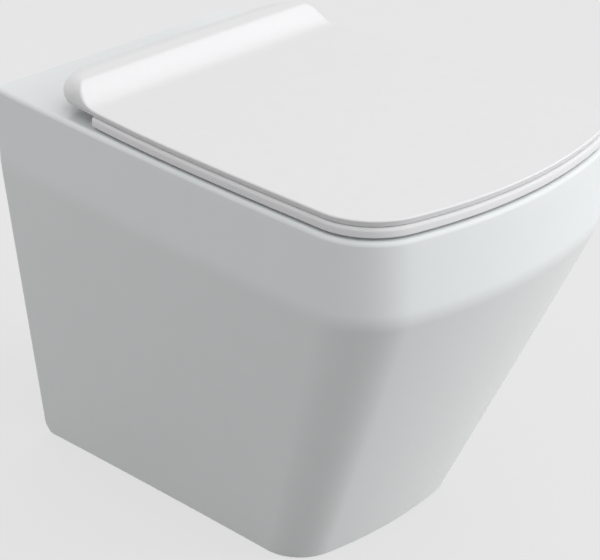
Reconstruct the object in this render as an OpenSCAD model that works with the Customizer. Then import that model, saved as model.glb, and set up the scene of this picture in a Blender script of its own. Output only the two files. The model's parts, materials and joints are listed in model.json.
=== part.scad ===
// Back to wall toilet: a glazed pan with an upright rim band over a tapering skirt,
// a slim seat ring and a lid whose rear rises in a soft hump over the hinges.
// The origin is on the centre line, where the wall meets the floor.
// The wall is the plane y = 0, the front points to -Y and +Z is up. Sizes are in millimetres.

/* [Rim] */
// Depth of the pan, from the wall to the middle of the rim's front
pan_depth = 580; // [550:1:600]
// Height of the rim above the floor
pan_height = 439; // [420:1:470]
// Widest width of the pan, beside the front of the seat
pan_width = 382; // [360:1:390]
// Width of the pan's top at the wall
pan_wall_width = 348; // [330:1:366]
// Height of the upright band round the rim
band_height = 86; // [60:1:110]
// Height over which the band turns into the slope below it
crease_height = 20; // [8:1:30]
// Radius of the rim's front corners, seen from above
rim_corner_r = 73; // [60:1:82]
// Radius of the bowed front of the rim, seen from above
rim_bow_r = 515; // [430:5:600]
// Rounding of the pan's top edge
rim_edge_r = 5.5; // [4:0.5:10]
// Radius of the two upright corners at the wall
wall_corner_r = 3; // [2:1:14]
// Thickness of the fired clay of the skirt
clay_t = 12; // [10:0.5:14]
// Thickness of the top deck
deck_t = 14; // [12:0.5:18]

/* [Foot] */
// Depth of the foot, from the wall to the middle of its front
foot_depth = 416; // [390:1:450]
// Width of the foot beside its front corners
foot_width = 256; // [240:1:290]
// Width of the foot at the wall
foot_wall_width = 265; // [250:1:290]
// Radius of the foot's front corners
foot_corner_r = 50; // [40:1:60]
// Radius of the bowed front of the foot
foot_bow_r = 480; // [400:5:600]
// Small rounding where the skirt meets the floor
foot_edge = 2; // [1:0.5:4]

/* [Bowl] */
// Width of the bowl's mouth
bowl_width = 250; // [230:1:260]
// Length of the bowl's mouth, front to back
bowl_length = 318; // [300:1:325]
// Distance from the wall to the back of the bowl's mouth
bowl_back = 205; // [195:1:215]
// Width of the sump at the bottom of the bowl
sump_width = 76; // [74:1:90]
// Length of the sump, front to back
sump_length = 76; // [74:1:90]
// Distance from the wall to the back of the sump
sump_back = 275; // [272:1:280]
// Height of the sump's floor above the floor of the room
sump_floor = 45; // [40:1:60]
// Thickness of the bowl's wall
bowl_t = 11; // [9:0.5:13]
// How soon the bowl's sides steepen below the mouth
bowl_fullness = 2.2; // [1.8:0.1:2.6]

/* [Waterway] */
// Bore of the trap
trap_bore = 72; // [68:1:74]
// Thickness of the trap's wall
trap_t = 10; // [8:0.5:11]
// Height of the trap's centre line at the weir
weir_z = 206; // [200:1:212]
// Distance from the wall to the weir
weir_back = 145; // [142:1:148]
// Radius of the trap's two bends, at its centre line
trap_bend_r = 48; // [47.5:0.5:50]
// Height of the outlet's centre line
outlet_z = 180; // [176:1:190]
// Outside diameter of the outlet spigot
spigot_d = 102; // [100:0.5:104]
// Bore of the outlet spigot
spigot_bore = 82; // [78:0.5:84]
// Distance from the wall to the end of the outlet spigot
spigot_back = 60; // [56:1:64]
// Length of the straight part of the outlet spigot
spigot_length = 40; // [37:1:42]
// Depth of the flush inlet's centre line below the rim
inlet_drop = 90; // [86:1:100]
// Bore of the flush inlet
inlet_bore = 55; // [50:0.5:58]
// Thickness of the flush inlet's wall
inlet_t = 9; // [7:0.5:11]
// Distance from the wall to the mouth of the flush inlet
inlet_back = 95; // [90:1:105]
// Depth of the flush inlet's bore
inlet_depth = 55; // [50:1:60]
// Bore of the passage from the inlet into the bowl
jet_bore = 32; // [26:1:36]
// Height by which that passage climbs
jet_rise = 36; // [30:1:40]

/* [Pipes] */
// Outside diameter of the flush pipe
flush_pipe_d = 40; // [38:0.5:42]
// Wall of the flush pipe
flush_pipe_t = 1.6; // [1.2:0.1:2.5]
// How far the flush pipe reaches into the inlet
flush_pipe_entry = 40; // [34:1:46]
// Depth of the insertion mark turned into the flush pipe
flush_mark_depth = 0.4; // [0.2:0.1:0.6]
// Width of that mark
flush_mark_width = 2; // [1:0.5:3]
// Thickness of the inlet seal's collar
seal_collar_t = 5; // [3:0.5:6]
// Outside diameter of the outlet connector's tail
outlet_tail_d = 110; // [108:0.5:112]
// Wall of the outlet connector
outlet_wall = 3.6; // [3:0.1:4]
// Space for the ribbed seal between spigot and connector
outlet_seal_t = 6; // [5:0.25:7]
// Length of the outlet connector's socket
outlet_socket_length = 42; // [38:1:43]
// Gap between the spigot's end and the connector's shoulder
outlet_stop = 10; // [8:0.5:12]
// Length of the connector's shoulder
outlet_shoulder = 8; // [6:0.5:10]

/* [Seat ring] */
// How far the seat stands in from the side of the rim
seat_side_inset = 3; // [2:0.5:6]
// How far the seat stands in from the front of the rim
seat_front_inset = 2; // [1:0.5:6]
// Radius of the seat's front corners, seen from above
seat_corner_r = 70; // [58:1:79]
// How much each side of the seat draws in from its widest place to the wall
seat_draw_in = 36; // [20:1:36]
// Height of the buffers between the rim and the ring
buffer_t = 3.1; // [2.6:0.1:4]
// Thickness of the ring
ring_t = 10; // [9:0.5:11]
// Rounding of the ring's upper edges
ring_edge_r = 4; // [2:0.5:4.5]
// Distance from the wall to the ring's rear edge
ring_back = 158; // [154:1:162]
// Width of the hole in the ring
hole_width = 224; // [205:1:235]
// Length of the hole in the ring
hole_length = 286; // [270:1:295]
// Distance from the wall to the back of the hole
hole_back = 214; // [208:1:225]
// Rounding of the ring's lower outside edge
ring_foot_edge = 1.2; // [0.6:0.1:1.6]
// Radius of the ring's rear corners, seen from above
ring_rear_r = 4; // [2:0.5:6]
// Length of a buffer under the ring
ring_buffer_length = 28; // [20:1:34]
// Width of a buffer under the ring
ring_buffer_width = 11; // [8:0.5:14]

/* [Lid] */
// Height of the buffers between the ring and the lid
lid_gap = 1; // [0.8:0.1:1.6]
// Thickness of the lid at its edge
lid_t = 6.8; // [6:0.1:8]
// How far the lid's edge leans in at its bottom
lid_undercut = 2.2; // [1:0.1:3]
// Rounding of the lid's top edge
lid_edge_r = 1.6; // [0.8:0.1:2.2]
// Height of the hump above the lid's flat top
hump_rise = 19.7; // [18:0.1:21]
// Distance from the wall to the lid's rear edge
hump_back = 84; // [82:1:86]
// Distance from the wall to where the hump starts to rise
hump_front = 170; // [165:1:180]
// Length over which the hump rises
hump_run = 42; // [36:1:44]
// How late the rise steepens
hump_bias = 1.8; // [1:0.1:2.2]
// Length of the hump's fall to the rear edge
hump_fall = 32; // [28:0.5:33]
// Height of that fall
hump_fall_height = 18.1; // [16:0.1:18.5]
// How far the hump's ends lean in at the crest
hump_side_lean = 14.5; // [8:0.5:16]
// Radius of the lid's rear corners, seen from above
hump_corner_r = 46; // [36:1:50]
// Thickness of the hollow hump's shell
shell_t = 3; // [2.5:0.1:3.2]
// Length of a buffer under the lid
lid_buffer_length = 16; // [12:1:22]
// Width of a buffer under the lid
lid_buffer_width = 9; // [7:0.5:12]

/* [Hinge] */
// Distance between the two hinges
hinge_spacing = 155; // [145:1:165]
// Distance from the wall to the hinge axis
axis_back = 94; // [93.5:0.25:95]
// Height of the hinge axis above the rim
axis_rise = 23.6; // [23.2:0.1:24]
// Diameter of the hinge pins
pin_d = 6; // [5:0.1:6.5]
// Outside diameter of the ring's and the lid's knuckles
knuckle_d = 15; // [13.5:0.1:15.2]
// Width of a hinge post
post_width = 13; // [11:0.5:14]
// Width of the ring's knuckles
ring_knuckle_width = 15.5; // [14:0.5:17]
// Width of the lid's knuckles
lid_knuckle_width = 19.5; // [16:0.5:22]
// Side gap between one knuckle and the next
knuckle_gap = 1; // [0.6:0.1:1.4]
// Outside diameter of the dampers and bushes
bush_d = 10.8; // [9.5:0.1:11]
// How far the seat bolts stand in front of the hinge axis
bolt_forward = 12; // [11:0.5:13]
// Diameter of the hinge base discs
base_d = 30; // [26:1:32]
// Thickness of the hinge base discs
base_t = 2.2; // [1.8:0.1:2.4]
// Thickness of the gasket under each base disc
gasket_t = 0.8; // [0.5:0.1:1]
// Diameter of the seat bolts
seat_bolt_d = 6; // [5:0.5:6]
// Diameter of the holes for the seat bolts in the deck
seat_hole_d = 15; // [14:0.5:17]
// Length of the rubber dowels that grip the deck
dowel_length = 36; // [30:1:42]

/* [Floor fixing] */
// Distance from the wall to the middle of the floor brackets
bracket_back = 95; // [85:1:105]
// Length of a floor bracket along the wall-to-front direction
bracket_length = 60; // [54:1:70]
// Thickness of the bracket's bent plate
bracket_t = 3; // [2.5:0.5:4]
// Height of the bracket's upright
bracket_height = 68; // [62:1:74]
// Width of the bracket's foot
bracket_foot = 48; // [40:1:52]
// Distance from the centre line to the bracket's outer face
bracket_reach = 104; // [100:1:106]
// Distance between a bracket's two floor holes
floor_hole_spacing = 40; // [34:1:44]
// Diameter of the floor holes
floor_hole_d = 7; // [6:0.5:8]
// Distance from the centre line to the floor holes
floor_hole_x = 76; // [72:1:80]
// Height of the clamp bolts
clamp_z = 45; // [40:1:50]
// Diameter of the clamp bolts
clamp_bolt_d = 8; // [6:0.5:8]
// Diameter of the plugs in the pan's clamp bosses
clamp_plug_d = 14; // [12:0.5:16]
// Diameter of the pan's clamp bosses
clamp_boss_d = 28; // [26:1:34]

/* [Clearances] */
// Radial clearance of a running fit
running = 0.05; // [0.02:0.01:0.09]
// Radial clearance of a part that is pushed home
push = 0.05; // [0.02:0.01:0.09]
// Radial clearance of a bolt in its hole
loose = 0.3; // [0.2:0.05:0.5]

/* [Hidden] */

// How finely the outlines are divided
bow_steps = 4;
corner_steps = 8;
side_steps = 8;
rear_steps = 4;
bowl_steps = 40;
round_fn = 64;

// A little more than nothing, so that cuts run through
past = 1;

// Heights, from the floor up
band_z = pan_height - band_height;
deck_z = pan_height - deck_t;
ring_z = pan_height + buffer_t;
ring_top = ring_z + ring_t;
lid_z = ring_top + lid_gap;
lid_top = lid_z + lid_t;
crest_z = lid_top + hump_rise;
inlet_z = pan_height - inlet_drop;
axis_z = pan_height + axis_rise;
base_z = pan_height + gasket_t;
post_z = base_z + base_t;

// Places along y
axis_y = -axis_back;
bolt_y = axis_y - bolt_forward;
seat_half = pan_width / 2 - seat_side_inset;
seat_front = pan_depth - seat_front_inset;

// Places along x, from one hinge's middle outwards
hinge_x = hinge_spacing / 2;
post_half = post_width / 2;
ring_knuckle_x = hinge_x - post_half - knuckle_gap - ring_knuckle_width;
lid_knuckle_x = hinge_x + post_half + knuckle_gap;
pin_head_t = 1.5;
pin_head_x = ring_knuckle_x - knuckle_gap - pin_head_t;

// Sizes of heads and nuts, as shares of the thread's diameter
head_d_ratio = 1.7;
head_t_ratio = 0.6;
hex_d_ratio = 1.9;
nut_d_ratio = 2;
nut_t_ratio = 0.8;
pin_head_ratio = 1.6;
bolt_end = 2;

// Waterway details: where the trap starts in the sump, as a share of its length, the step
// above the sump's floor, and how far one run laps into the next
trap_start_share = 0.42;
trap_step = 2.5;
trap_lap = 3;
trap_run_in = 7;
jet_run_in = 20;
rib_setback = 5;
bowl_squareness = 2.4;
bowl_levels = [0, 0.04, 0.1, 0.18, 0.28, 0.4, 0.54, 0.7, 0.86, 1];
clamp_cover = 2;

// Ring arm, from the hinge axis: its neck below the knuckle, its crest above the lid's
// swing, how far it laps the ring, and the ramp under its root
arm_neck = [-14.25, -7.8];
arm_crest = [-30, -3];
arm_lap = 12;
arm_land = 6;
arm_ramp = [20, 5];

// Web of a lid knuckle: its depth where it meets the hump, and how long that meeting is
web_depth = 2;
web_land = 10;

// Reach of a post's foot in front of its bolt and behind it, and of the lid's rear
// cut-outs in front of the hinge axis
post_foot_front = 7.5;
post_foot_back = 6;
notch_reach = 2;

// Share of the hump's run before which it isn't hollow, and the most of its depth that
// its rear corners may take
hollow_from = 0.3;
corner_share = 0.9;

function lerp(a, b, t) = a + (b - a) * t;

// Half width of a side that draws in towards the wall, at a place y
function side_x(half, draw_in, power, widest_y, y) =
    half - draw_in * pow(max(0, (y - widest_y) / -widest_y), power);

// Right half of an outline seen from above, from the middle of its front round to its back
function half_outline(front, half, bow_r, corner_r, draw_in, power, back, back_rx, back_ry) =
    let (
        corner_x = half - corner_r,
        reach = sqrt(pow(bow_r - corner_r, 2) - corner_x * corner_x),
        bow_y = bow_r - front,
        corner_y = bow_y - reach,
        turn = atan2(corner_x, reach),
        back_y = -back - back_ry,
        back_x = side_x(half, draw_in, power, corner_y, back_y)
    )
    concat(
        [for (i = [0 : bow_steps])
            let (a = turn * i / bow_steps)
            [bow_r * sin(a), bow_y - bow_r * cos(a)]],
        [for (i = [1 : corner_steps])
            let (a = lerp(turn, 90, i / corner_steps))
            [corner_x + corner_r * sin(a), corner_y - corner_r * cos(a)]],
        [for (i = [1 : side_steps])
            let (y = lerp(corner_y, back_y, i / side_steps))
            [side_x(half, draw_in, power, corner_y, y), y]],
        [for (i = [1 : rear_steps])
            let (a = 90 * i / rear_steps)
            [back_x - back_rx * (1 - cos(a)), back_y + back_ry * sin(a)]]
    );

// The whole outline, from its right half
function both_sides(half) =
    concat(half, [for (i = [len(half) - 1 : -1 : 1]) [-half[i][0], half[i][1]]]);

function at_height(outline, z) = [for (p = outline) [p[0], p[1], z]];

// A closed solid through sections of equal length
module loft(sections) {
    n = len(sections[0]);
    last = len(sections) - 1;
    polyhedron(
        points = [for (s = sections) each s],
        faces = concat(
            [[for (i = [0 : n - 1]) i]],
            [for (k = [0 : last - 1], i = [0 : n - 1])
                [k * n + i, (k + 1) * n + i, (k + 1) * n + (i + 1) % n]],
            [for (k = [0 : last - 1], i = [0 : n - 1])
                [k * n + i, (k + 1) * n + (i + 1) % n, k * n + (i + 1) % n]],
            [[for (i = [n - 1 : -1 : 0]) last * n + i]]
        )
    );
}

// A copy on each side of the centre line
module both() {
    children();
    mirror([1, 0, 0]) children();
}

// A cylinder along x, from one place to another
module rod_x(x0, x1, d) {
    translate([x0, 0, 0]) rotate([0, 90, 0]) cylinder(h = x1 - x0, d = d, $fn = round_fn);
}

// A cylinder towards the wall, from one distance from the wall to a smaller one
module rod_y(back0, back1, d) {
    translate([0, -back0, 0]) rotate([-90, 0, 0]) cylinder(h = back0 - back1, d = d, $fn = round_fn);
}

// How far up the slope a height lies: 0 at the foot and 1 in the band
function slope_at(z) =
    let (soft = crease_height / 2)
    z <= band_z - soft ? z / band_z
    : z >= band_z + soft ? 1
    : z / band_z - pow(z - band_z + soft, 2) / (4 * soft * band_z);

function pan_outline(z, inset, back, back_r) =
    let (t = slope_at(z))
    at_height(both_sides(half_outline(
        lerp(foot_depth, pan_depth, t) - inset,
        lerp(foot_width, pan_width, t) / 2 - inset,
        lerp(foot_bow_r, rim_bow_r, t) - inset,
        lerp(foot_corner_r, rim_corner_r, t) - inset,
        lerp(foot_width - foot_wall_width, pan_width - pan_wall_width, t) / 2,
        2, back, back_r, back_r)), z);

// Heights at which the slope and its crease are drawn, up to the band
slope_levels = concat(
    [for (i = [0 : 4]) lerp(foot_edge, band_z - crease_height / 2, i / 4)],
    [for (i = [1 : 4]) band_z + crease_height * (i / 4 - 1 / 2)]
);

module pan_outside() {
    loft(concat(
        [pan_outline(0, foot_edge, 0, wall_corner_r)],
        [for (z = slope_levels) pan_outline(z, 0, 0, wall_corner_r)],
        [for (a = [0 : 22.5 : 90])
            pan_outline(pan_height - rim_edge_r * (1 - sin(a)), rim_edge_r * (1 - cos(a)),
                0, wall_corner_r)]
    ));
}

// The hollow inside the skirt, open below and at the wall
module pan_hollow() {
    loft(concat(
        [pan_outline(-past, clay_t, -past, past / 2)],
        [for (z = slope_levels) pan_outline(z, clay_t, -past, past / 2)],
        [pan_outline(deck_z, clay_t, -past, past / 2)]
    ));
}

// Rounded outline of the bowl or of the ring's hole
function bowl_outline(half, back, front, z) =
    let (mid = -(front + back) / 2, reach = (front - back) / 2)
    [for (i = [0 : bowl_steps - 1])
        let (a = 360 * i / bowl_steps, c = cos(a), s = sin(a))
        [half * sign(c) * pow(abs(c), 2 / bowl_squareness),
         mid + reach * sign(s) * pow(abs(s), 2 / bowl_squareness), z]];

// The bowl's inside, or its outside when it grows by the wall's thickness
module bowl(grow) {
    sump_front = sump_back + sump_length;
    bowl_front = bowl_back + bowl_length;
    floor_z = sump_floor - grow;
    top_z = grow > 0 ? pan_height - deck_t / 2 : pan_height + past;
    loft([for (u = bowl_levels)
        let (wide = 1 - pow(1 - u, bowl_fullness))
        bowl_outline(
            lerp(sump_width, bowl_width, wide) / 2 + grow,
            lerp(sump_back, bowl_back, wide) - grow,
            lerp(sump_front, bowl_front, wide) + grow,
            lerp(floor_z, top_z, u))]);
}

// The trap in the plane x = 0, as y and z: back from the sump, up round the lower bend,
// back round the upper bend at the weir, then down to the spigot
trap_start = [-sump_back - sump_length * trap_start_share, sump_floor + trap_bore / 2 + trap_step];
trap_end = [-spigot_back - spigot_length - trap_lap, outlet_z];
upper_bend = [-weir_back, weir_z - trap_bend_r];
lower_bend = [-weir_back - 2 * trap_bend_r, trap_start[1] + trap_bend_r];
bend_steps = 6;

// Side view of the channel, at a distance from its middle, run on past its end
function trap_shape(half, run_on) =
    let (wide = trap_bend_r + half, tight = trap_bend_r - half)
    concat(
        [trap_start - [0, half]],
        [for (i = [0 : bend_steps])
            let (a = 90 * i / bend_steps)
            lower_bend + wide * [sin(a), -cos(a)]],
        [for (i = [0 : bend_steps])
            let (a = 90 * i / bend_steps)
            upper_bend + tight * [-cos(a), sin(a)]],
        [trap_end + [0, -half], trap_end + [run_on, -half],
         trap_end + [run_on, half], trap_end + [0, half]],
        [for (i = [bend_steps : -1 : 0])
            let (a = 90 * i / bend_steps)
            upper_bend + wide * [-cos(a), sin(a)]],
        [for (i = [bend_steps : -1 : 0])
            let (a = 90 * i / bend_steps)
            lower_bend + tight * [sin(a), -cos(a)]],
        [trap_start + [0, half]]
    );

module trap(half, run_on) {
    translate([-half, 0, 0]) rotate([90, 0, 90])
        linear_extrude(height = 2 * half) polygon(trap_shape(half, run_on));
}

// The passage that climbs from the flush inlet into the bowl
module jet(d) {
    run = bowl_back - inlet_back - inlet_depth + jet_run_in;
    translate([0, -inlet_back - inlet_depth + d / 4, inlet_z])
        rotate([90 - atan2(jet_rise, run), 0, 0])
            cylinder(h = norm([run, jet_rise]) + d / 4, d = d, $fn = round_fn);
}

// Inner face of the skirt at a clamp bolt
clamp_wall_x = max([for (p = pan_outline(clamp_z, clay_t, 0, 1)) p[1] > -bracket_back ? p[0] : 0]);
clamp_bore_x = clamp_wall_x - clamp_cover;

module pan() {
    color("whitesmoke")
    difference() {
        union() {
            difference() {
                pan_outside();
                pan_hollow();
            }
            bowl(bowl_t);
            trap(trap_bore / 2 + trap_t, trap_run_in);
            translate([0, 0, outlet_z]) rod_y(spigot_back + spigot_length, spigot_back, spigot_d);
            translate([0, 0, inlet_z])
                rod_y(inlet_back + inlet_depth + inlet_t, inlet_back, inlet_bore + 2 * inlet_t);
            jet(jet_bore + 2 * inlet_t);
            translate([-inlet_t / 2, -inlet_back - inlet_depth, inlet_z + inlet_bore / 2 + inlet_t / 2])
                cube([inlet_t, inlet_depth - rib_setback, deck_z - inlet_z - inlet_bore / 2]);
            both() translate([0, -bracket_back, clamp_z])
                rod_x(bracket_reach, clamp_wall_x + clay_t / 2, clamp_boss_d);
        }
        bowl(0);
        trap(trap_bore / 2, past);
        translate([0, 0, outlet_z])
            rod_y(spigot_back + spigot_length + trap_lap + past, spigot_back - past, spigot_bore);
        translate([0, 0, inlet_z]) rod_y(inlet_back + inlet_depth, inlet_back - past, inlet_bore);
        jet(jet_bore);
        both() translate([hinge_x, bolt_y, deck_z - past])
            cylinder(h = deck_t + 2 * past, d = seat_hole_d, $fn = round_fn);
        both() translate([0, -bracket_back, clamp_z])
            rod_x(bracket_reach - past, clamp_bore_x, clamp_plug_d);
    }
}

function seat_outline(inset, back, back_rx, back_ry) =
    both_sides(half_outline(seat_front - inset, seat_half - inset, rim_bow_r - inset,
        seat_corner_r - inset, seat_draw_in, 3, back, back_rx, back_ry));

module ring_hole() {
    r = ring_edge_r;
    hole_front = hole_back + hole_length;
    loft(concat(
        [bowl_outline(hole_width / 2, hole_back, hole_front, ring_z - past)],
        [for (a = [0 : 22.5 : 90])
            let (flare = r * (1 - cos(a)))
            bowl_outline(hole_width / 2 + flare, hole_back - flare, hole_front + flare,
                ring_top - r + r * sin(a))],
        [bowl_outline(hole_width / 2 + r, hole_back - r, hole_front + r, ring_top + past)]
    ));
}

// A place round the hinge axis, as y and z
function round_axis(reach, a) = reach * [cos(a), sin(a)];

// A knuckle and its arm: the arm leaves the knuckle high, so that the lid's rear edge
// swings past beneath it
module ring_arm() {
    r = knuckle_d / 2;
    root = [axis_back - ring_back, ring_z - axis_z];
    translate([ring_knuckle_x, axis_y, axis_z]) rotate([90, 0, 90])
        linear_extrude(height = ring_knuckle_width)
            polygon([
                round_axis(r, 240), arm_neck, root + arm_ramp,
                root + [-arm_lap, 0], root + [-arm_lap, ring_t], root + [arm_land, ring_t],
                arm_crest, round_axis(r, 135)
            ]);
    translate([0, axis_y, axis_z])
        rod_x(ring_knuckle_x, ring_knuckle_x + ring_knuckle_width, knuckle_d);
}

module seat_ring() {
    r = ring_edge_r;
    rear_r = ring_rear_r;
    edge = ring_foot_edge;
    color("white")
    difference() {
        union() {
            loft(concat(
                [at_height(seat_outline(edge, ring_back + edge / 2, rear_r, rear_r), ring_z)],
                [at_height(seat_outline(0, ring_back, rear_r, rear_r), ring_z + edge)],
                [for (a = [0 : 22.5 : 90])
                    let (inset = r * (1 - cos(a)))
                    at_height(seat_outline(inset, ring_back, rear_r, rear_r),
                        ring_top - r + r * sin(a))]
            ));
            both() ring_arm();
        }
        ring_hole();
        both() translate([0, axis_y, axis_z])
            rod_x(ring_knuckle_x - past, ring_knuckle_x + ring_knuckle_width + past,
                bush_d + 2 * push);
    }
}

// How far the hump has risen, from 0 to 1, at a share of its run
function rise_at(t) = let (s = pow(t, hump_bias)) s * s * (3 - 2 * s);

// The share of the fall's height at which a section of the hump lies, and how far
// its rear and its ends have moved in there
function fall_in(z) =
    let (u = max(0, (z - crest_z + hump_fall_height) / hump_fall_height))
    1 - sqrt(max(0, 1 - u * u));

// One level section of the hump, where its front has risen by a share of its run
function hump_section(t, wall) =
    let (
        z = lid_top + hump_rise * rise_at(t),
        draw = fall_in(z),
        front = -hump_front + hump_run * t + wall,
        rear = -hump_back - hump_fall * draw - wall,
        lean = hump_side_lean * draw + wall,
        round_y = min(hump_corner_r - wall, corner_share * (rear - front)),
        round_x = hump_corner_r - wall - hump_side_lean * draw,
        corner_y = rear - round_y,
        seat_corner_y = rim_bow_r - seat_front
            - sqrt(pow(rim_bow_r - seat_corner_r, 2) - pow(seat_half - seat_corner_r, 2)),
        half = [
            for (i = [0 : 4])
                let (y = lerp(front, corner_y, i / 4))
                [side_x(seat_half, seat_draw_in, 3, seat_corner_y, y) - lean, y],
            for (i = [1 : corner_steps])
                let (a = 90 * i / corner_steps)
                [side_x(seat_half, seat_draw_in, 3, seat_corner_y, corner_y) - lean
                    - round_x * (1 - cos(a)), corner_y + round_y * sin(a)]
        ]
    )
    at_height(concat(half, [for (i = [len(half) - 1 : -1 : 0]) [-half[i][0], half[i][1]]]),
        z - wall);

// Shares of the run at which the hump is cut into level sections
hump_shares = [0.12, 0.3, 0.45, 0.56, 0.66, 0.75, 0.83, 0.9, 0.96, 1];

module lid_plate() {
    r = lid_edge_r;
    loft(concat(
        [at_height(seat_outline(lid_undercut, hump_back, hump_corner_r, hump_corner_r), lid_z)],
        [for (a = [0 : 22.5 : 90])
            at_height(seat_outline(r * (1 - cos(a)), hump_back, hump_corner_r, hump_corner_r),
                lid_top - r + r * sin(a))]
    ));
}

// The hump starts inside the plate, so that the two are one solid
module hump() {
    start = hump_section(hump_shares[0], 0);
    loft(concat(
        [[for (p = start) [p[0], p[1], lid_z + lid_t / 2]]],
        [for (t = hump_shares) hump_section(t, 0)]
    ));
}

module hump_hollow() {
    start = hump_section(hump_shares[0], shell_t);
    loft(concat(
        [[for (p = start) [p[0], p[1], lid_z - past]]],
        [for (t = hump_shares) if (t > hollow_from) hump_section(t, shell_t)]
    ));
}

// Web that carries a lid knuckle from the inside of the hump
module lid_web() {
    r = knuckle_d / 2;
    inside = crest_z - shell_t / 2 - axis_z;
    translate([lid_knuckle_x, axis_y, axis_z]) rotate([90, 0, 90])
        linear_extrude(height = lid_knuckle_width)
            polygon([
                round_axis(r, 235), [-hump_fall, inside - web_depth], [-hump_fall, inside],
                [-hump_fall + web_land, inside], round_axis(r, 70)
            ]);
    translate([0, axis_y, axis_z])
        rod_x(lid_knuckle_x, lid_knuckle_x + lid_knuckle_width, knuckle_d);
}

// The lid is cut out at its rear round each post and the ring's knuckle beside it
module seat_lid() {
    notch_x = ring_knuckle_x - knuckle_gap;
    color("white")
    difference() {
        union() {
            difference() {
                union() {
                    lid_plate();
                    hump();
                }
                hump_hollow();
            }
            both() lid_web();
        }
        both() translate([notch_x, axis_y - notch_reach, lid_z - past])
            cube([lid_knuckle_x - notch_x, axis_back, crest_z - lid_z + 2 * past]);
        both() translate([0, axis_y, axis_z])
            rod_x(lid_knuckle_x - past, lid_knuckle_x + lid_knuckle_width + past,
                bush_d + 2 * push);
    }
}

// A flat pad with round ends, long from front to back
module pad(length, width, height) {
    linear_extrude(height = height) {
        square([width, length - width], center = true);
        for (end = [-1, 1])
            translate([0, end * (length - width) / 2]) circle(d = width, $fn = round_fn);
    }
}

// Distances from the wall at which the buffers stand
ring_buffer_backs = [235, 470];
lid_buffer_backs = [300, 480];
buffer_x = (seat_half + hole_width / 2) / 2;

module ring_buffers() {
    color("gainsboro")
    both() for (back = ring_buffer_backs)
        translate([buffer_x, -back, pan_height])
            pad(ring_buffer_length, ring_buffer_width, buffer_t);
}

module lid_buffers() {
    color("gainsboro")
    both() for (back = lid_buffer_backs)
        translate([buffer_x, -back, ring_top])
            pad(lid_buffer_length, lid_buffer_width, lid_gap);
}

// A post leans back from its base, in front of the axis, to its barrel on the axis
module hinge_post() {
    r = knuckle_d / 2;
    foot = post_z - axis_z;
    color("silver")
    difference() {
        union() {
            translate([hinge_x - post_half, axis_y, axis_z]) rotate([90, 0, 90])
                linear_extrude(height = post_width)
                    polygon([
                        [-bolt_forward - post_foot_front, foot],
                        [-bolt_forward + post_foot_back, foot],
                        round_axis(r, 283), round_axis(r, 167)
                    ]);
            translate([0, axis_y, axis_z]) rod_x(hinge_x - post_half, hinge_x + post_half, knuckle_d);
        }
        translate([0, axis_y, axis_z])
            rod_x(hinge_x - post_half - past, hinge_x + post_half + past, pin_d + 2 * push);
        translate([hinge_x, bolt_y, post_z - past])
            cylinder(h = past + seat_bolt_d * head_t_ratio + loose,
                d = seat_bolt_d * head_d_ratio + 2 * loose, $fn = round_fn);
    }
}

module hinge_base() {
    color("silver")
    translate([hinge_x, bolt_y, base_z])
        difference() {
            cylinder(h = base_t, d = base_d, $fn = round_fn);
            translate([0, 0, -past])
                cylinder(h = base_t + 2 * past, d = seat_bolt_d + 2 * loose, $fn = round_fn);
        }
}

module hinge_gaskets() {
    color("dimgray")
    both() translate([hinge_x, bolt_y, pan_height])
        difference() {
            cylinder(h = gasket_t, d = base_d, $fn = round_fn);
            translate([0, 0, -past])
                cylinder(h = gasket_t + 2 * past, d = seat_bolt_d + 2 * loose, $fn = round_fn);
        }
}

// The pin is pushed into the post, and the ring and the lid turn on its two ends
module hinge_pin() {
    color("silver")
    translate([0, axis_y, axis_z]) {
        rod_x(pin_head_x, pin_head_x + pin_head_t, pin_d * pin_head_ratio);
        rod_x(pin_head_x, lid_knuckle_x + lid_knuckle_width - knuckle_gap, pin_d);
    }
}

// Sleeve between a knuckle and its pin
module sleeve(x0, width) {
    translate([0, axis_y, axis_z])
        difference() {
            rod_x(x0, x0 + width, bush_d);
            rod_x(x0 - past, x0 + width + past, pin_d + 2 * running);
        }
}

module ring_damper() {
    color("dimgray") mirror([1, 0, 0]) sleeve(ring_knuckle_x, ring_knuckle_width);
}

module ring_bush() {
    color("beige") sleeve(ring_knuckle_x, ring_knuckle_width);
}

module lid_damper() {
    color("dimgray") sleeve(lid_knuckle_x, lid_knuckle_width);
}

module lid_bush() {
    color("beige") mirror([1, 0, 0]) sleeve(lid_knuckle_x, lid_knuckle_width);
}

nut_t = seat_bolt_d * nut_t_ratio;
nut_z = pan_height - dowel_length - nut_t;

module seat_bolts() {
    color("silver")
    both() translate([hinge_x, bolt_y, 0]) {
        translate([0, 0, nut_z - bolt_end])
            cylinder(h = post_z - nut_z + bolt_end, d = seat_bolt_d, $fn = round_fn);
        translate([0, 0, post_z])
            cylinder(h = seat_bolt_d * head_t_ratio, d = seat_bolt_d * head_d_ratio,
                $fn = round_fn);
    }
}

module fixing_dowels() {
    color("dimgray")
    both() translate([hinge_x, bolt_y, pan_height - dowel_length])
        difference() {
            cylinder(h = dowel_length, d = seat_hole_d - 2 * loose, $fn = round_fn);
            translate([0, 0, -past])
                cylinder(h = dowel_length + 2 * past, d = seat_bolt_d + 2 * push, $fn = round_fn);
        }
}

module dowel_nuts() {
    color("goldenrod")
    both() translate([hinge_x, bolt_y, nut_z])
        difference() {
            cylinder(h = nut_t, d = seat_bolt_d * nut_d_ratio, $fn = 6);
            translate([0, 0, -past])
                cylinder(h = nut_t + 2 * past, d = seat_bolt_d + 2 * push, $fn = round_fn);
        }
}

// The seal's collar lies on the mouth of the inlet
collar_back = inlet_back - seal_collar_t;

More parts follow.
